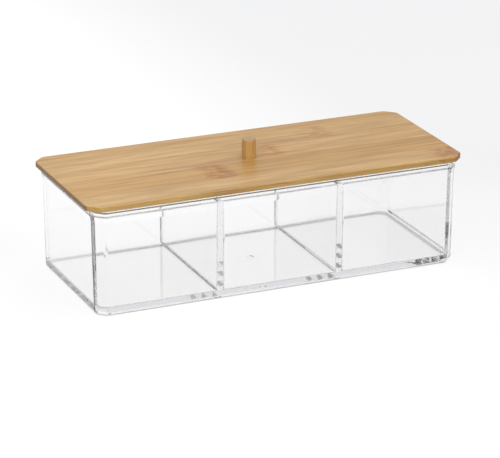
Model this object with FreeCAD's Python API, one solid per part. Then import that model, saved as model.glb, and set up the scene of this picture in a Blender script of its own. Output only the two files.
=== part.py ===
import FreeCAD, Part
import math
import os

# Vanity organizer: a clear moulded tray with three compartments under a
# lift-off bamboo lid board. Millimetres, +Z up, origin at the centre of the
# underside, +X along the row of compartments, -Y is the front.

# ---------------------------------------------------------------- dimensions
# lid board
LID_X = 260.0           # length of the board
LID_Y = 107.4           # depth of the board
LID_T = 3.5             # thickness of the board
LID_CHAMFER = 7.0       # leg of the cut-off corners
LID_CORNER_R = 4.6      # softening of the corner cuts in plan
LID_EDGE_R = 0.7        # eased top arris
LID_EDGE_R_LOW = 0.5    # eased bottom arris
STRIP_JOINTS = (41.9, 19.0, -6.2, -32.2)   # glue lines between the bamboo strips, Y

# tray
TRAY_H = 70.0           # height of the rim
TRAY_X = 249.8          # outer length at the underside
TRAY_Y = 103.7          # outer depth at the underside
TRAY_CHAMFER = 6.0      # leg of the cut-off corners, outside
TRAY_CORNER_R = 3.1     # softening of the corner cuts, outside, at the underside
WALL = 3.0
FLOOR = 3.25
DRAFT = 1.07            # how far each wall leans out over the full height
FOOT_R = 3.0            # rounded outer bottom edge
FOOT_RECESS = 1.65       # hollow of the underside inside the standing land
FOOT_LAND = 4.6         # from the outside to the hollow, standing land and slope together
FOOT_SLOPE = 0.60       # width of the hollow's sloped edge
RIM_STEP = 0.75         # how far the rim stands out beyond the wall
RIM_STEP_Z0 = 61.6      # the wall starts to flare here
RIM_STEP_Z1 = 66.0      # and is upright again from here
RIM_BEND_R = 3.0        # softening of the two bends of the flare
RIM_WALL = 1.6          # rim thickness
RIM_EDGE_OUT = 1.1      # rounded outer arris of the rim
RIM_EDGE_IN = 0.35      # rounded inner arris of the rim
RIM_FOOT_R = 0.7        # rounded inside corner where the rim meets its ledge
LEDGE_Z = 66.0          # ledge inside the rim, and the top of the dividers
DIVIDER_X = 41.5        # dividers stand at plus and minus this
DIVIDER_TOP = 3.6
DIVIDER_FOOT = 4.1
CORE_R = 0.9            # inside corners at the dividers
CORE_R_CUT = 0.6        # inside corners at the cut-off corners
WALL_FOOT_R = 1.8       # inside bottom edges along the outer walls
DIVIDER_FOOT_R = 0.8    # inside bottom edges along the dividers
MOUTH_R = 1.3          # softened mouth of each compartment
DIMPLE_R = 2.6          # moulding mark in the middle of the inside floor
DIMPLE_H = 0.35
GATE_R = 1.2            # gate mark below it, in the hollow of the underside
GATE_H = 0.25

# plug board under the lid
PLUG_T = 2.4            # thickness of the plug board
PLUG_GAP = 1.0          # room between the plug board and the rim
PLUG_EDGE = 0.4         # chamfer of the plug board's lower edge

# knob and its screw
KNOB_D = 9.3
KNOB_H = 12.2
KNOB_EDGE = 0.35
SCREW_D = 2.9
SCREW_LEN = 13.0
SCREW_HEAD_D = 5.6
SCREW_HEAD_H = 1.7
SCREW_SINK = 0.15
PILOT_D = 2.5
CLEAR_D = 3.4

V = FreeCAD.Vector


# ------------------------------------------------------------------- helpers
def octagon(hx, hy, leg):
    """Rectangle of half sizes hx, hy with its corners cut, counter-clockwise."""
    return [(hx, -hy + leg), (hx, hy - leg), (hx - leg, hy), (-hx + leg, hy),
            (-hx, hy - leg), (-hx, -hy + leg), (-hx + leg, -hy), (hx - leg, -hy)]


def inset_leg(leg, d):
    """Leg of the corner cut once the outline is moved in by d."""
    return leg - d * (2.0 - math.sqrt(2.0))


def arc_mid(c, a, b):
    """Point half way along the shorter arc from a to b about c."""
    ra = math.hypot(a[0] - c[0], a[1] - c[1])
    mx, my = (a[0] + b[0]) / 2 - c[0], (a[1] + b[1]) / 2 - c[1]
    m = math.hypot(mx, my)
    return (c[0] + mx / m * ra, c[1] + my / m * ra)


def bend(p, q, s, rad):
    """Start, middle and end of an arc of radius rad that softens the corner q of p-q-s."""
    u = (p[0] - q[0], p[1] - q[1])
    w = (s[0] - q[0], s[1] - q[1])
    lu, lw = math.hypot(*u), math.hypot(*w)
    u, w = (u[0] / lu, u[1] / lu), (w[0] / lw, w[1] / lw)
    ang = math.acos(u[0] * w[0] + u[1] * w[1])
    t = rad / math.tan(ang / 2)
    h = (u[0] + w[0], u[1] + w[1])
    lh = math.hypot(*h)
    d = rad / math.sin(ang / 2)
    c = (q[0] + h[0] / lh * d, q[1] + h[1] / lh * d)
    a, b = (q[0] + u[0] * t, q[1] + u[1] * t), (q[0] + w[0] * t, q[1] + w[1] * t)
    return a, arc_mid(c, a, b), b


def profile_edges(items, place):
    """Edges from ('L', p, q) and ('A', p, mid, q) items given as (r, z)."""
    out = []
    for it in items:
        if it[0] == "L":
            out.append(Part.LineSegment(place(it[1]), place(it[2])).toShape())
        else:
            out.append(Part.Arc(place(it[1]), place(it[2]), place(it[3])).toShape())
    return out


def swept(poly, items):
    """Solid whose edge all round the convex polygon has the given section.

    The section is a closed loop of (r, z) items whose inner side is r = 0.
    """
    n = len(poly)
    zs = [p[1] for it in items for p in it[1:]]
    z0, z1 = min(zs), max(zs)
    pts = [V(x, y, z0) for x, y in poly]
    core = Part.Face(Part.makePolygon(pts + [pts[0]])).extrude(V(0, 0, z1 - z0))
    pieces = []
    for i in range(n):
        ax, ay = poly[i]
        bx, by = poly[(i + 1) % n]
        length = math.hypot(bx - ax, by - ay)
        nx, ny = (by - ay) / length, -(bx - ax) / length
        face = Part.Face(Part.Wire(profile_edges(
            items, lambda p: V(ax + nx * p[0], ay + ny * p[0], p[1]))))
        pieces.append(face.extrude(V(bx - ax, by - ay, 0)))
        cx, cy = poly[(i + 2) % n]
        l2 = math.hypot(cx - bx, cy - by)
        mx, my = (cy - by) / l2, -(cx - bx) / l2
        turn = math.degrees(math.atan2(nx * my - ny * mx, nx * mx + ny * my))
        face = Part.Face(Part.Wire(profile_edges(
            items, lambda p: V(bx + nx * p[0], by + ny * p[0], p[1]))))
        pieces.append(face.revolve(V(bx, by, 0), V(0, 0, 1), turn))
    solid = core.multiFuse(pieces).removeSplitter()
    return solid.Solids[0] if len(solid.Solids) == 1 else solid


def rounded_wire(pts, radii, z):
    """Closed wire through the corners of a convex polygon, each with its radius."""
    n = len(pts)
    tang = []
    for i in range(n):
        p0, p1, p2 = pts[i - 1], pts[i], pts[(i + 1) % n]
        u = (p0[0] - p1[0], p0[1] - p1[1])
        w = (p2[0] - p1[0], p2[1] - p1[1])
        lu, lw = math.hypot(*u), math.hypot(*w)
        u = (u[0] / lu, u[1] / lu)
        w = (w[0] / lw, w[1] / lw)
        ang = math.acos(u[0] * w[0] + u[1] * w[1])
        t = radii[i] / math.tan(ang / 2)
        a = (p1[0] + u[0] * t, p1[1] + u[1] * t)
        b = (p1[0] + w[0] * t, p1[1] + w[1] * t)
        bis = (u[0] + w[0], u[1] + w[1])
        lb = math.hypot(*bis)
        d = radii[i] / math.sin(ang / 2)
        c = (p1[0] + bis[0] / lb * d, p1[1] + bis[1] / lb * d)
        tang.append((a, arc_mid(c, a, b), b))
    edges = []
    for i in range(n):
        a, m, b = tang[i]
        edges.append(Part.Arc(V(*a, z), V(*m, z), V(*b, z)).toShape())
        nxt = tang[(i + 1) % n][0]
        edges.append(Part.LineSegment(V(*b, z), V(*nxt, z)).toShape())
    return Part.Wire(edges)


# ---------------------------------------------------------------------- tray
K = DRAFT / TRAY_H                       # lean of a wall, mm per mm of height
LEAN = math.sqrt(1.0 + K * K)
RC = TRAY_CORNER_R


def wall_r(z):
    return RC + K * z


def tray_outer():
    hx, hy = TRAY_X / 2 - RC, TRAY_Y / 2 - RC
    poly = octagon(hx, hy, inset_leg(TRAY_CHAMFER, RC))
    # rounded foot
    c0 = (RC + K * FOOT_R - FOOT_R * LEAN, FOOT_R)
    f0 = (c0[0], 0.0)
    f1 = (c0[0] + FOOT_R / LEAN, c0[1] - FOOT_R * K / LEAN)
    # flare of the rim between two leaning lines, its bends softened
    s0 = (wall_r(RIM_STEP_Z0), RIM_STEP_Z0)
    s1 = (wall_r(RIM_STEP_Z1) + RIM_STEP, RIM_STEP_Z1)
    # rounded top arris
    top_r = wall_r(TRAY_H) + RIM_STEP
    e0 = (top_r - K * RIM_EDGE_OUT, TRAY_H - RIM_EDGE_OUT)
    e1 = (e0[0] - RIM_EDGE_OUT, TRAY_H)
    a0, a1, a2 = bend(f1, s0, s1, RIM_BEND_R)
    b0, b1, b2 = bend(s0, s1, e0, RIM_BEND_R)
    items = [("L", (0.0, 0.0), f0), ("A", f0, arc_mid(c0, f0, f1), f1), ("L", f1, a0),
             ("A", a0, a1, a2), ("L", a2, b0), ("A", b0, b1, b2),
             ("L", b2, e0), ("A", e0, arc_mid((e1[0], e0[1]), e0, e1), e1),
             ("L", e1, (0.0, TRAY_H)), ("L", (0.0, TRAY_H), (0.0, 0.0))]
    return swept(poly, items)


FLOOR_Z = FOOT_RECESS + FLOOR
CORE_TOP = LEDGE_Z


def core_outline(z):
    """Inside faces of the outer walls at height z: half sizes and corner cut."""
    d = WALL - K * z
    return TRAY_X / 2 - d, TRAY_Y / 2 - d, inset_leg(TRAY_CHAMFER, d)


def divider_half(z):
    t = (z - FLOOR_Z) / (LEDGE_Z - FLOOR_Z)
    return (DIVIDER_FOOT + (DIVIDER_TOP - DIVIDER_FOOT) * t) / 2


def rounded(shape, radius_of):
    """Shape with each edge rounded by the radius that radius_of gives for it."""
    doc = FreeCAD.newDocument("rounding")
    base = doc.addObject("Part::Feature", "base")
    base.Shape = shape
    fil = doc.addObject("Part::Fillet", "fil")
    fil.Base = base
    picks = [(i + 1, radius_of(e)) for i, e in enumerate(shape.Edges)]
    fil.Edges = [(i, r, r) for i, r in picks if r]
    doc.recompute()
    out = fil.Shape.copy()
    FreeCAD.closeDocument("rounding")
    return out


def core(which):
    """Space of one compartment, from its floor to the ledge."""
    wires = []
    for z in (FLOOR_Z, CORE_TOP):
        hx, hy, leg = core_outline(z)
        d = divider_half(z)
        if which == 0:
            x0, x1 = -DIVIDER_X + d, DIVIDER_X - d
            pts = [(x1, -hy), (x1, hy), (x0, hy), (x0, -hy)]
        else:
            x0 = DIVIDER_X + d
            pts = [(hx, -hy + leg), (hx, hy - leg), (hx - leg, hy), (x0, hy), (x0, -hy), (hx - leg, -hy)]
            if which < 0:
                pts = [(-x, y) for x, y in pts][::-1]
        wires.append(Part.makePolygon([V(x, y, z) for x, y in pts + pts[:1]]))
    solid = Part.makeLoft(wires, True, True)

    def at_divider(x):
        return abs(abs(x) - DIVIDER_X) < DIVIDER_FOOT

    def radius_of(e):
        box = e.BoundBox
        low, high = box.ZMin < FLOOR_Z + 1e-6, box.ZMax > CORE_TOP - 1e-6
        if low and high:
            return CORE_R if at_divider(box.Center.x) else CORE_R_CUT
        if low:
            return DIVIDER_FOOT_R if at_divider(box.Center.x) and box.XLength < 1e-6 else WALL_FOOT_R
        return None

    return rounded(solid, radius_of)


def rim_inside():
    """Rebate inside the rim, from the ledge upwards, flaring over the top arris."""
    rr = wall_r(TRAY_H) + RIM_STEP - RIM_WALL
    hx, hy = TRAY_X / 2 - RC, TRAY_Y / 2 - RC
    poly = octagon(hx, hy, inset_leg(TRAY_CHAMFER, RC))
    a0 = (rr, TRAY_H - RIM_EDGE_IN)
    a1 = (rr + RIM_EDGE_IN, TRAY_H)
    top = TRAY_H + 2.0
    c0 = (rr - RIM_FOOT_R, LEDGE_Z + RIM_FOOT_R)
    f0, f1 = (c0[0], LEDGE_Z), (rr, c0[1])
    items = [("L", (0.0, LEDGE_Z), f0), ("A", f0, arc_mid(c0, f0, f1), f1), ("L", f1, a0),
             ("A", a0, arc_mid((a1[0], a0[1]), a0, a1), a1),
             ("L", a1, (a1[0], top)), ("L", (a1[0], top), (0.0, top)),
             ("L", (0.0, top), (0.0, LEDGE_Z))]
    return swept(poly, items)


tray = tray_outer()
for side in (-1, 0, 1):
    tray = tray.cut(core(side))
tray = tray.cut(rim_inside())
# shallow hollow of the underside with a sloped edge, and the moulding mark
land = FOOT_LAND
rec = octagon(TRAY_X / 2 - land - 1.0, TRAY_Y / 2 - land - 1.0, inset_leg(TRAY_CHAMFER, land + 1.0) + 2.0)
rec_items = [("L", (0.0, -1.0), (1.0 + FOOT_SLOPE, -1.0)), ("L", (1.0 + FOOT_SLOPE, -1.0), (1.0 + FOOT_SLOPE, 0.0)),
             ("L", (1.0 + FOOT_SLOPE, 0.0), (1.0, FOOT_RECESS)), ("L", (1.0, FOOT_RECESS), (0.0, FOOT_RECESS)),
             ("L", (0.0, FOOT_RECESS), (0.0, -1.0))]
tray = tray.cut(swept(rec, rec_items))
gate = Part.makeCone(GATE_R * 0.8, GATE_R, GATE_H, V(0, 0, FOOT_RECESS - GATE_H), V(0, 0, 1))
tray = tray.fuse(gate)
dimple = Part.makeCone(DIMPLE_R - DIMPLE_H, DIMPLE_R, DIMPLE_H, V(0, 0, FLOOR_Z - DIMPLE_H), V(0, 0, 1))
tray = tray.cut(dimple).removeSplitter()
# soften the mouths of the compartments
mouth = [e for e in tray.Edges if abs(e.BoundBox.ZMin - LEDGE_Z) < 1e-6 and e.BoundBox.ZLength < 1e-6
         and e.BoundBox.XMax < TRAY_X / 2 - WALL + K * LEDGE_Z + 0.05
         and e.BoundBox.XMin > -(TRAY_X / 2 - WALL + K * LEDGE_Z) - 0.05
         and e.BoundBox.YMax < TRAY_Y / 2 - WALL + K * LEDGE_Z + 0.05
         and e.BoundBox.YMin > -(TRAY_Y / 2 - WALL + K * LEDGE_Z) - 0.05]
tray = tray.makeFillet(MOUTH_R, mouth)

# ----------------------------------------------------------------- lid board
LID_Z = TRAY_H
LID_TOP = LID_Z + LID_T


def lid_board():
    r = LID_CORNER_R
    poly = octagon(LID_X / 2 - r, LID_Y / 2 - r, inset_leg(LID_CHAMFER, r))
    b0, b1 = (r - LID_EDGE_R_LOW, LID_Z), (r, LID_Z + LID_EDGE_R_LOW)
    t0, t1 = (r, LID_TOP - LID_EDGE_R), (r - LID_EDGE_R, LID_TOP)
    items = [("L", (0.0, LID_Z), b0), ("A", b0, arc_mid((b0[0], b1[1]), b0, b1), b1), ("L", b1, t0),
             ("A", t0, arc_mid((t1[0], t0[1]), t0, t1), t1), ("L", t1, (0.0, LID_TOP)),
             ("L", (0.0, LID_TOP), (0.0, LID_Z))]
    return swept(poly, items)


board = lid_board().cut(Part.makeCylinder(CLEAR_D / 2, LID_T + 2, V(0, 0, LID_Z - 1)))
cuts = (LID_Y / 2 + 5.0,) + STRIP_JOINTS + (-LID_Y / 2 - 5.0,)
strips = {}
for i in range(len(cuts) - 1):
    slab = Part.makeBox(LID_X + 20, cuts[i] - cuts[i + 1], LID_T + 10, V(-LID_X / 2 - 10, cuts[i + 1], LID_Z - 5))
    strips["lid_strip_%d" % (i + 1)] = board.common(slab)

# ---------------------------------------------------------------- plug board
plug_out = wall_r(TRAY_H) + RIM_STEP - RIM_WALL - PLUG_GAP     # edge of the plug board
z_low = LID_Z - PLUG_T
base = octagon(TRAY_X / 2 - RC, TRAY_Y / 2 - RC, inset_leg(TRAY_CHAMFER, RC))
plug_items = [("L", (0.0, z_low), (plug_out - PLUG_EDGE, z_low)),
              ("L", (plug_out - PLUG_EDGE, z_low), (plug_out, z_low + PLUG_EDGE)),
              ("L", (plug_out, z_low + PLUG_EDGE), (plug_out, LID_Z)),
              ("L", (plug_out, LID_Z), (0.0, LID_Z)), ("L", (0.0, LID_Z), (0.0, z_low))]
plug = swept(base, plug_items)
plug = plug.cut(Part.makeCylinder(CLEAR_D / 2, PLUG_T + 2, V(0, 0, z_low - 1)))
# countersink for the screw head
sink_r = SCREW_HEAD_D / 2 + 0.15
sink = Part.makeCylinder(sink_r, 0.5, V(0, 0, z_low))
sink = sink.fuse(Part.makeCone(sink_r, CLEAR_D / 2, SCREW_HEAD_H - 0.4, V(0, 0, z_low + 0.5), V(0, 0, 1)))
plug = plug.cut(sink)

# ------------------------------------------------------------ knob and screw
knob = Part.makeCylinder(KNOB_D / 2, KNOB_H, V(0, 0, LID_TOP))
top_edge = [e for e in knob.Edges if abs(e.BoundBox.ZMin - (LID_TOP + KNOB_H)) < 1e-6]
knob = knob.makeFillet(KNOB_EDGE, top_edge)
screw_z0 = z_low + SCREW_SINK
tip_z = screw_z0 + SCREW_LEN
knob = knob.cut(Part.makeCylinder(PILOT_D / 2, tip_z + 0.6 - LID_TOP, V(0, 0, LID_TOP)))

head = Part.makeCone(SCREW_HEAD_D / 2, SCREW_D / 2, SCREW_HEAD_H - 0.3, V(0, 0, screw_z0 + 0.3), V(0, 0, 1))
head = head.fuse(Part.makeCylinder(SCREW_HEAD_D / 2, 0.3, V(0, 0, screw_z0)))
shank = Part.makeCylinder(SCREW_D / 2, SCREW_LEN - 1.6, V(0, 0, screw_z0))
point = Part.makeCone(SCREW_D / 2, 0.5, 1.6, V(0, 0, tip_z - 1.6), V(0, 0, 1))
screw = head.fuse([shank, point]).removeSplitter()
# cross recess
for ang in (0.0, 90.0):
    bar = Part.makeBox(3.0, 0.62, 1.15, V(-1.5, -0.31, screw_z0 - 0.05))
    bar.rotate(V(0, 0, 0), V(0, 0, 1), ang)
    screw = screw.cut(bar)

# -------------------------------------------------------------------- export
os.makedirs("parts", exist_ok=True)
nodes = {"tray": tray, "lid_plug": plug, "lid_knob": knob, "knob_screw": screw}
nodes.update(strips)
for name, shape in nodes.items():
    if shape.ShapeType == "Compound" and len(shape.Solids) == 1:
        shape = shape.Solids[0]
    box = shape.BoundBox
    print("%-12s %-8s solids %d valid %s volume %.1f  x %.2f %.2f  y %.2f %.2f  z %.2f %.2f" % (
        name, shape.ShapeType, len(shape.Solids), shape.isValid(), shape.Volume,
        box.XMin, box.XMax, box.YMin, box.YMax, box.ZMin, box.ZMax))
    shape.exportStep("parts/%s.step" % name)
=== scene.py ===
import bpy
import math
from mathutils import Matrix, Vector

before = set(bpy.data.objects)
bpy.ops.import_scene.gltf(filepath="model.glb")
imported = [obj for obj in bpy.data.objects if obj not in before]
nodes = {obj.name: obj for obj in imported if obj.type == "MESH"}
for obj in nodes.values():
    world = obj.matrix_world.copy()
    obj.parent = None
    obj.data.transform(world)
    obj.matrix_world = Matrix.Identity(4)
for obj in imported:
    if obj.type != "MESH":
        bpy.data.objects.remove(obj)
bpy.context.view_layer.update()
scene = bpy.context.scene

# ------------------------------------------------------------ colour and light paths
scene.view_settings.view_transform = "Standard"
scene.view_settings.look = "None"
scene.view_settings.exposure = 0.0
scene.view_settings.gamma = 1.0
scene.cycles.max_bounces = 96
scene.cycles.diffuse_bounces = 6
scene.cycles.glossy_bounces = 32
scene.cycles.transmission_bounces = 48
scene.cycles.transparent_max_bounces = 24
scene.cycles.caustics_reflective = True
scene.cycles.caustics_refractive = True


# ------------------------------------------------------------ node helpers
class Mat:
    """A node material with short calls for the nodes used here."""

    def __init__(self, name):
        self.m = bpy.data.materials.new(name)
        self.m.use_nodes = True
        self.t = self.m.node_tree
        self.t.nodes.clear()
        self.out = self.n("ShaderNodeOutputMaterial")

    def n(self, kind, **props):
        x = self.t.nodes.new(kind)
        for k, v in props.items():
            setattr(x, k, v)
        return x

    def link(self, a, b):
        self.t.links.new(a, b)

    def put(self, node, name, value):
        s = node.inputs[name]
        if hasattr(value, "is_output") or isinstance(value, bpy.types.NodeSocket):
            self.link(value, s)
        else:
            s.default_value = value

    def math(self, op, a, b=None, c=None, clamp=False):
        x = self.n("ShaderNodeMath", operation=op, use_clamp=clamp)
        for i, v in enumerate((a, b, c)):
            if v is None:
                continue
            if isinstance(v, bpy.types.NodeSocket):
                self.link(v, x.inputs[i])
            else:
                x.inputs[i].default_value = v
        return x.outputs[0]

    def ramp(self, fac, stops, interp="LINEAR"):
        x = self.n("ShaderNodeValToRGB")
        x.color_ramp.interpolation = interp
        e = x.color_ramp.elements
        while len(e) < len(stops):
            e.new(0.5)
        for el, (pos, col) in zip(e, stops):
            el.position = pos
            el.color = (*col, 1.0) if len(col) == 3 else col
        self.link(fac, x.inputs["Fac"])
        return x.outputs["Color"]

    def mix(self, fac, a, b, blend="MIX"):
        x = self.n("ShaderNodeMix", data_type="RGBA", blend_type=blend)
        x.clamp_factor = True
        for s, v in ((x.inputs[0], fac), (x.inputs[6], a), (x.inputs[7], b)):
            if isinstance(v, bpy.types.NodeSocket):
                self.link(v, s)
            elif isinstance(v, (int, float)):
                s.default_value = v
            else:
                s.default_value = (*v, 1.0)
        return x.outputs[2]

    def coords(self, scale=(1, 1, 1), loc=(0, 0, 0), rot=(0, 0, 0)):
        c = self.n("ShaderNodeTexCoord")
        mp = self.n("ShaderNodeMapping")
        mp.inputs["Location"].default_value = loc
        mp.inputs["Rotation"].default_value = rot
        mp.inputs["Scale"].default_value = scale
        self.link(c.outputs["Object"], mp.inputs["Vector"])
        return mp.outputs["Vector"]

    def noise(self, vec, scale, detail=2.0, rough=0.5, dist=0.0):
        x = self.n("ShaderNodeTexNoise")
        self.link(vec, x.inputs["Vector"])
        x.inputs["Scale"].default_value = scale
        x.inputs["Detail"].default_value = detail
        x.inputs["Roughness"].default_value = rough
        x.inputs["Distortion"].default_value = dist
        return x.outputs["Fac"]

    def split(self, vec):
        x = self.n("ShaderNodeSeparateXYZ")
        self.link(vec, x.inputs[0])
        return x.outputs[0], x.outputs[1], x.outputs[2]

    def join(self, a, b, c):
        x = self.n("ShaderNodeCombineXYZ")
        for i, v in enumerate((a, b, c)):
            self.link(v, x.inputs[i])
        return x.outputs[0]

    def scaled(self, vec, scale, shift=0.0):
        mp = self.n("ShaderNodeMapping")
        mp.inputs["Location"].default_value = (shift, shift * 1.7, shift * 0.6)
        mp.inputs["Scale"].default_value = scale
        self.link(vec, mp.inputs["Vector"])
        return mp.outputs["Vector"]

    def smooth(self, value, lo, hi):
        x = self.n("ShaderNodeMapRange", interpolation_type="SMOOTHSTEP")
        x.inputs["From Min"].default_value = lo
        x.inputs["From Max"].default_value = hi
        self.link(value, x.inputs["Value"])
        return x.outputs["Result"]

    def normal(self):
        return self.n("ShaderNodeTexCoord").outputs["Normal"]

    def principled(self):
        p = self.n("ShaderNodeBsdfPrincipled")
        self.link(p.outputs["BSDF"], self.out.inputs["Surface"])
        return p

    def bump(self, height, strength, distance):
        b = self.n("ShaderNodeBump")
        b.inputs["Strength"].default_value = strength
        b.inputs["Distance"].default_value = distance
        self.link(height, b.inputs["Height"])
        return b.outputs["Normal"]


def lin(r, g, b):
    """Linear colour from display values 0-255."""
    f = lambda c: (c / 255 / 12.92) if c / 255 <= 0.04045 else ((c / 255 + 0.055) / 1.055) ** 2.4
    return (f(r), f(g), f(b))


def paint(name, mat):
    o = nodes[name]
    o.data.materials.clear()
    o.data.materials.append(mat.m)


# ------------------------------------------------------------ clear plastic
def clear_plastic():
    m = Mat("clear_polystyrene")
    p = m.principled()
    flow = m.noise(m.coords(scale=(9, 9, 3)), 6.0, 3.0, 0.5)
    # faint streaks of the melt's flow, and faces that are not quite flat
    m.put(p, "Base Color", m.ramp(flow, [(0.30, (0.976, 0.978, 0.980)), (0.70, (0.988, 0.988, 0.988))]))
    wave = m.noise(m.coords(scale=(30, 30, 22), loc=(3.0, 1.0, 2.0)), 1.0, 2.0, 0.4)
    m.put(p, "Normal", m.bump(wave, 0.5, 0.00004))
    p.inputs["Transmission Weight"].default_value = 1.0
    p.inputs["IOR"].default_value = 1.58
    m.put(p, "Roughness", m.math("MULTIPLY", flow, 0.012))
    # slight absorption, seen where light runs along a wall inside the plastic
    va = m.n("ShaderNodeVolumeAbsorption")
    va.inputs["Color"].default_value = (0.50, 0.505, 0.525, 1)
    va.inputs["Density"].default_value = 3.0
    m.link(va.outputs["Volume"], m.out.inputs["Volume"])
    return m


# ------------------------------------------------------------ bamboo
# Tone of each lid strip as it shows, where its knuckle lies (m) and how strong that is.
STRIPS = {
    1: ((203, 169, 127), None, 0.0),
    2: ((207, 175, 134), 0.059, 0.5),
    3: ((207, 173, 132), 0.014, 0.62),
    4: ((200, 165, 123), -0.031, 0.92),
    5: ((207, 175, 135), 0.122, 0.95),
}
# painted shade: all strips are painted a little darker and browner from the left end to the right, standing in for
# light that falls from the left
LEFT_LIT_TINT = (0.945, 0.935, 0.905)
RIGHT_SHADED_TINT = (0.865, 0.840, 0.745)
SHEEN = (0.100, 0.104, 0.114)      # light mirrored by the lacquer at the viewing angle
TOP_LIGHT = 1.12                   # light falling on the lid, for turning display colour into albedo


def albedo(rgb):
    return tuple(max((c - k) / TOP_LIGHT, 0.01) for c, k in zip(lin(*rgb), SHEEN))


def tint(col, f):
    return tuple(c * k for c, k in zip(col, f))


def bamboo(name, seed, tone_rgb, knuckle=None, knuckle_k=0.0):
    m = Mat(name)
    p = m.principled()
    x, y, z = m.split(m.coords())
    # fibres wander a little over the length
    drift = m.math("MULTIPLY", m.math("SUBTRACT", m.noise(m.coords(scale=(9, 25, 25), loc=(seed, 0, 0)), 1.0, 2.0, 0.5), 0.5), 0.004)
    fv = m.join(x, m.math("ADD", y, drift), z)
    broad = m.noise(m.scaled(fv, (9, 110, 110), seed), 1.0, 3.0, 0.55)
    mid = m.noise(m.scaled(fv, (18, 330, 330), seed + 3), 1.0, 4.0, 0.6)
    fine = m.noise(m.scaled(fv, (42, 1500, 1500), seed + 7), 1.0, 3.0, 0.6)
    dash = m.noise(m.scaled(fv, (75, 1050, 1050), seed + 11), 1.0, 2.0, 0.5)
    # painted shade: the strip's tone darkens from the lit left end to the shaded right end
    base = m.mix(m.smooth(x, -0.13, 0.13), tint(albedo(tone_rgb), LEFT_LIT_TINT), tint(albedo(tone_rgb), RIGHT_SHADED_TINT))
    tone = m.math("ADD", m.math("MULTIPLY", broad, 0.42), m.math("ADD", m.math("MULTIPLY", mid, 0.58), m.math("MULTIPLY", fine, 0.20)))
    grain = m.ramp(tone, [(0.40, (0.58, 0.49, 0.40)), (0.53, (0.88, 0.83, 0.77)), (0.64, (1.05, 1.06, 1.08)), (0.78, (1.30, 1.36, 1.46))])
    col = m.mix(1.0, base, grain, "MULTIPLY")
    # short dark vessel dashes
    col = m.mix(m.math("MULTIPLY", m.smooth(dash, 0.60, 0.74), 0.55), col, m.mix(1.0, col, (0.66, 0.56, 0.46), "MULTIPLY"))
    if knuckle is not None:
        # the knuckle: a browned patch where the fibres break up into short flecks
        wob = m.math("MULTIPLY", m.math("SUBTRACT", m.noise(m.coords(scale=(25, 240, 240), loc=(seed * 2, 0, 0)), 1.0, 3.0, 0.6), 0.5), 0.016)
        d = m.math("ADD", m.math("SUBTRACT", x, knuckle), wob)
        belt = m.math("SUBTRACT", 1.0, m.smooth(m.math("ABSOLUTE", d), 0.0030, 0.0130))
        ring = m.math("SUBTRACT", 1.0, m.smooth(m.math("ABSOLUTE", m.math("SUBTRACT", d, 0.0075)), 0.0010, 0.0050))
        fleck = m.noise(m.scaled(fv, (115, 430, 430), seed + 5), 1.0, 3.0, 0.55)
        spark = m.noise(m.scaled(fv, (150, 540, 540), seed + 9), 1.0, 3.0, 0.55)
        col = m.mix(m.math("MULTIPLY", belt, 0.85 * knuckle_k), col, m.mix(1.0, col, (0.92, 0.80, 0.62), "MULTIPLY"))
        col = m.mix(m.math("MULTIPLY", ring, 0.75 * knuckle_k), col, m.mix(1.0, col, (0.86, 0.71, 0.48), "MULTIPLY"))
        dark = m.math("MULTIPLY", belt, m.smooth(fleck, 0.47, 0.58))
        col = m.mix(m.math("MULTIPLY", dark, 0.95 * knuckle_k), col, m.mix(1.0, col, (0.66, 0.46, 0.22), "MULTIPLY"))
        pale = m.math("MULTIPLY", belt, m.smooth(spark, 0.53, 0.62))
        col = m.mix(m.math("MULTIPLY", pale, 0.80 * knuckle_k), col, m.mix(1.0, col, (1.26, 1.27, 1.24), "MULTIPLY"))
    # end grain: darker ground with bundle dots on the end faces; the chamfers that face right are long grain but get
    # the same dark colour as painted shade
    nx, ny, nz = m.split(m.normal())
    end_grain_and_shade = m.math("MAXIMUM", m.smooth(nx, 0.25, 0.65), m.smooth(m.math("MULTIPLY", nx, -1.0), 0.80, 0.97))
    dots = m.n("ShaderNodeTexVoronoi", feature="F1")
    m.link(m.scaled(m.coords(), (300, 1150, 1150), seed), dots.inputs["Vector"])
    dots.inputs["Scale"].default_value = 1.0
    end_grain_and_shade_col = m.mix(1.0, base, m.ramp(dots.outputs["Distance"], [(0.10, (0.20, 0.13, 0.06)), (0.45, (0.42, 0.30, 0.14)), (0.8, (0.50, 0.37, 0.18))]), "MULTIPLY")
    col = m.mix(end_grain_and_shade, col, end_grain_and_shade_col)
    # the sawn and sanded long edges are a little darker and yellower than the face
    side = m.smooth(m.math("ABSOLUTE", ny), 0.35, 0.8)
    col = m.mix(m.math("MULTIPLY", side, 1.0), col, m.mix(1.0, col, EDGE_TINT, "MULTIPLY"))
    m.put(p, "Base Color", col)
    m.put(p, "Roughness", m.math("ADD", 0.32, m.math("MULTIPLY", fine, 0.14)))
    p.inputs["IOR"].default_value = 1.45
    h = m.math("ADD", m.math("MULTIPLY", mid, 0.6), m.math("MULTIPLY", fine, 0.4))
    m.put(p, "Normal", m.bump(h, 0.25, 0.00006))
    return m


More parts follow.
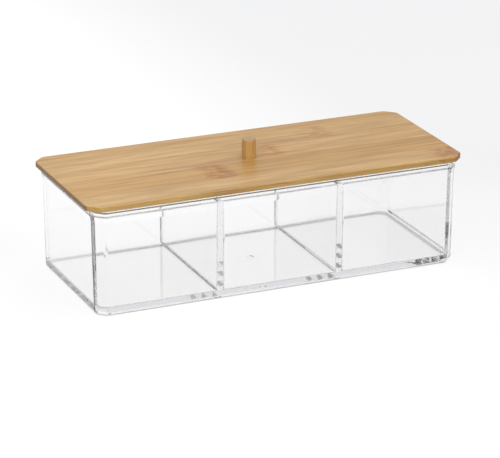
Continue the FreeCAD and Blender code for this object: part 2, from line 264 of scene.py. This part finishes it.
def bamboo_knob():
    m = Mat("bamboo_knob")
    p = m.principled()
    x, y, z = m.split(m.coords())
    broad = m.noise(m.scaled(m.coords(), (330, 330, 22), 5.0), 1.0, 2.0, 0.5)
    streak = m.noise(m.scaled(m.coords(), (1100, 1100, 45), 9.0), 1.0, 3.0, 0.6)
    fine = m.noise(m.scaled(m.coords(), (3200, 3200, 120), 2.0), 1.0, 2.0, 0.5)
    tone = m.math("ADD", m.math("MULTIPLY", broad, 0.5), m.math("ADD", m.math("MULTIPLY", streak, 0.38), m.math("MULTIPLY", fine, 0.12)))
    sidecol = m.ramp(tone, [(0.34, KNOB_DARK), (0.46, KNOB_WARM), (0.54, KNOB_MID), (0.66, KNOB_PALE)])
    # the turned bar is paler and yellower away from one warm streak down its front
    away = m.smooth(m.math("ABSOLUTE", m.math("ADD", x, 0.0004)), 0.0012, 0.0036)
    sidecol = m.mix(away, sidecol, m.mix(1.0, sidecol, (0.97, 1.10, 1.20), "MULTIPLY"))
    # painted light and shade: the bar is painted lighter on its left side and darker on its right, as if lit from
    # the left
    sidecol = m.mix(m.smooth(x, -0.0040, 0.0040), m.mix(1.0, sidecol, (1.12, 1.18, 1.20), "MULTIPLY"), m.mix(1.0, sidecol, (0.82, 0.90, 0.94), "MULTIPLY"))
    # end grain on top: bundle dots on a pale ground, darker towards the rim
    dots = m.n("ShaderNodeTexVoronoi", feature="F1")
    m.link(m.scaled(m.coords(), (1500, 1500, 300), 4.0), dots.inputs["Vector"])
    dots.inputs["Scale"].default_value = 1.0
    topcol = m.mix(1.0, KNOB_TOP, m.ramp(dots.outputs["Distance"], [(0.08, (0.52, 0.46, 0.40)), (0.38, (0.97, 0.96, 0.95)), (0.8, (1.06, 1.06, 1.06))]), "MULTIPLY")
    rad = m.math("SQRT", m.math("ADD", m.math("MULTIPLY", x, x), m.math("MULTIPLY", y, y)))
    rim = m.smooth(rad, 0.0034, 0.0045)
    topcol = m.mix(rim, topcol, m.mix(1.0, topcol, (0.62, 0.54, 0.44), "MULTIPLY"))
    nx, ny, nz = m.split(m.normal())
    col = m.mix(m.smooth(nz, 0.5, 0.9), sidecol, topcol)
    # painted shade: a dark line where the knob meets the lid
    knob_contact_shade = m.math("SUBTRACT", 1.0, m.smooth(z, 0.0735, 0.0742))
    col = m.mix(m.math("MULTIPLY", knob_contact_shade, 0.35), col, m.mix(1.0, col, (0.6, 0.5, 0.4), "MULTIPLY"))
    m.put(p, "Base Color", col)
    m.put(p, "Roughness", m.math("ADD", 0.28, m.math("MULTIPLY", streak, 0.16)))
    p.inputs["IOR"].default_value = 1.45
    m.put(p, "Normal", m.bump(streak, 0.25, 0.00006))
    return m


def zinc():
    m = Mat("zinc_steel")
    p = m.principled()
    blotch = m.noise(m.scaled(m.coords(), (900, 900, 900), 1.0), 1.0, 4.0, 0.6)
    turn = m.noise(m.scaled(m.coords(), (600, 600, 9000), 2.0), 1.0, 2.0, 0.5)
    m.put(p, "Base Color", m.ramp(blotch, [(0.3, (0.50, 0.50, 0.49)), (0.55, (0.63, 0.63, 0.62)), (0.75, (0.70, 0.69, 0.66))]))
    p.inputs["Metallic"].default_value = 1.0
    m.put(p, "Roughness", m.math("ADD", 0.22, m.math("MULTIPLY", blotch, 0.25)))
    m.put(p, "Normal", m.bump(turn, 0.2, 0.00004))
    return m


EDGE_TINT = (1.05, 1.02, 0.76)
KNOB_DARK = (0.41, 0.200, 0.060)
KNOB_WARM = (0.60, 0.305, 0.093)
KNOB_MID = (0.68, 0.395, 0.128)
KNOB_PALE = (0.78, 0.505, 0.195)
KNOB_TOP = (0.34, 0.215, 0.085)

paint("tray", clear_plastic())
for i, (tone_rgb, kn, kk) in STRIPS.items():
    paint("lid_strip_%d" % i, bamboo("bamboo_strip_%d" % i, i * 3.1, tone_rgb, kn, kk))
paint("lid_plug", bamboo("bamboo_plug", 21.0, (205, 173, 133), 0.082, 0.6))
paint("lid_knob", bamboo_knob())
paint("knob_screw", zinc())

# Light levels: the floor left, right and far in front, the room, the wall behind, the source overhead.
FLOOR_SPAN = (0.0, 0.25)
FLOOR_LEFT = (0.93, 0.93, 0.93)
FLOOR_OUT = (0.875, 0.875, 0.875)
FLOOR_RIGHT = (0.79, 0.79, 0.80)
FLOOR_FAR = (0.45, 0.45, 0.45)
CONTACT = 0.50                     # how much darker the floor is right under the foot
ROOM_DARK = (0.10, 0.10, 0.105)
ROOM_LIT = (0.81, 0.81, 0.83)
WALL_BEHIND = (0.88, 0.88, 0.91)
OVERHEAD_BACK = (0.8, 0.8, 0.8)
OVERHEAD_FRONT = (3.2, 3.2, 3.2)

# ------------------------------------------------------------ floor and light
bpy.ops.mesh.primitive_plane_add(size=10.0, location=(0, 0, -0.0002))
floor = bpy.context.object
floor.name = "studio_floor"
fm = Mat("studio_floor")
fp = fm.principled()
fx, fy, fz = fm.split(fm.coords())
fn = fm.noise(fm.coords(), 3.0, 2.0, 0.5)
fm.put(fp, "Base Color", fm.ramp(fn, [(0.3, (0.095, 0.095, 0.095)), (0.7, (0.105, 0.105, 0.105))]))
fp.inputs["Roughness"].default_value = 0.9
fp.inputs["Specular IOR Level"].default_value = 0.0
# the lit floor falls off to both sides, a little to the back, and far out in front
glow = fm.mix(fm.smooth(fx, -0.150, -0.075), FLOOR_OUT, FLOOR_LEFT)
glow = fm.mix(fm.smooth(fx, *FLOOR_SPAN), glow, FLOOR_RIGHT)
glow = fm.mix(fm.math("MULTIPLY", fm.smooth(fy, 0.03, 0.12), 0.035), glow, (0.0, 0.0, 0.0))
glow = fm.mix(fm.smooth(fm.math("MULTIPLY", fy, -1.0), 0.40, 1.10), glow, FLOOR_FAR)
# little light reaches the floor where the tray's foot stands on it
ax, ay = fm.math("ABSOLUTE", fx), fm.math("ABSOLUTE", fy)
inset = fm.math("MINIMUM", fm.math("SUBTRACT", 0.1249, ax), fm.math("SUBTRACT", 0.0519, ay))
inset = fm.math("MINIMUM", inset, fm.math("MULTIPLY", fm.math("SUBTRACT", 0.1708, fm.math("ADD", ax, ay)), 0.707))
contact = fm.math("MULTIPLY", fm.smooth(inset, 0.0014, 0.0028), fm.math("SUBTRACT", 1.0, fm.smooth(inset, 0.0036, 0.0056)))
glow = fm.mix(fm.math("MULTIPLY", contact, CONTACT), glow, (0.0, 0.0, 0.0))
fm.put(fp, "Emission Color", glow)
fp.inputs["Emission Strength"].default_value = 1.0
floor.data.materials.append(fm.m)

# soft light: a wide source overhead, a lit wall behind and to the right, a dim room on the left and in front
world = bpy.data.worlds.new("studio")
scene.world = world
world.use_nodes = True
wt = world.node_tree
bg = wt.nodes["Background"]
bg.inputs["Strength"].default_value = 1.0


def wnode(kind, **props):
    x = wt.nodes.new(kind)
    for k, v in props.items():
        setattr(x, k, v)
    return x


def wmath(op, a, b=None):
    x = wnode("ShaderNodeMath", operation=op)
    for i, v in enumerate((a, b)):
        if v is None:
            continue
        if isinstance(v, bpy.types.NodeSocket):
            wt.links.new(v, x.inputs[i])
        else:
            x.inputs[i].default_value = v
    return x.outputs[0]


def wrange(value, lo, hi):
    x = wnode("ShaderNodeMapRange", interpolation_type="SMOOTHSTEP")
    x.inputs["From Min"].default_value = lo
    x.inputs["From Max"].default_value = hi
    wt.links.new(value, x.inputs["Value"])
    return x.outputs["Result"]


def wmix(fac, a, b):
    x = wnode("ShaderNodeMix", data_type="RGBA")
    wt.links.new(fac, x.inputs[0])
    for s_, v in ((x.inputs[6], a), (x.inputs[7], b)):
        if isinstance(v, bpy.types.NodeSocket):
            wt.links.new(v, s_)
        else:
            s_.default_value = (*v, 1.0)
    return x.outputs[2]


wd = wnode("ShaderNodeTexCoord")
sep = wnode("ShaderNodeSeparateXYZ")
wt.links.new(wd.outputs["Generated"], sep.inputs[0])
wx, wy, wz = sep.outputs["X"], sep.outputs["Y"], sep.outputs["Z"]
flat = wmath("SQRT", wmath("ADD", wmath("MULTIPLY", wx, wx), wmath("ADD", wmath("MULTIPLY", wy, wy), 1e-6)))
to_right = wmath("ADD", wmath("MULTIPLY", wx, 0.94), wmath("MULTIPLY", wy, 0.34))
to_back = wmath("DIVIDE", wmath("ADD", wmath("MULTIPLY", wx, 0.087), wmath("MULTIPLY", wy, 0.996)), flat)
ring = wmix(wrange(to_right, -0.35, 0.25), ROOM_DARK, ROOM_LIT)
ring = wmix(wrange(to_back, 0.85, 0.98), ring, WALL_BEHIND)
high = wmath("SUBTRACT", wz, wmath("MULTIPLY", wy, 0.15))
key = wmath("ADD", wmath("MULTIPLY", wx, -0.5), wmath("MULTIPLY", wy, -0.87))
above = wmix(wrange(key, -0.6, 0.6), OVERHEAD_BACK, OVERHEAD_FRONT)
sky = wmix(wrange(high, 0.60, 0.80), ring, above)
wt.links.new(sky, bg.inputs["Color"])

# ------------------------------------------------------------ camera
F_PX = 2779.0
AZ, EL = math.radians(-23.472), math.radians(20.775)
DIST = 701.3 * 0.0026
TX, TY = -1.06, 34.06
back = Vector((math.sin(AZ) * math.cos(EL), -math.cos(AZ) * math.cos(EL), math.sin(EL)))
right = Vector((math.cos(AZ), math.sin(AZ), 0.0))
up = back.cross(right)
pos = back * DIST
aim = (-back * F_PX + right * (-TX) + up * TY).normalized()
cam = bpy.data.cameras.new("camera")
cam.sensor_fit = "HORIZONTAL"
cam.sensor_width = 36.0
cam.lens = F_PX * 36.0 / 500.0
cam.clip_start, cam.clip_end = 0.05, 30.0
cam_o = bpy.data.objects.new("camera", cam)
scene.collection.objects.link(cam_o)
cam_o.location = pos
cam_o.rotation_mode = "QUATERNION"
cam_o.rotation_quaternion = aim.to_track_quat("-Z", "Y")
scene.camera = cam_o
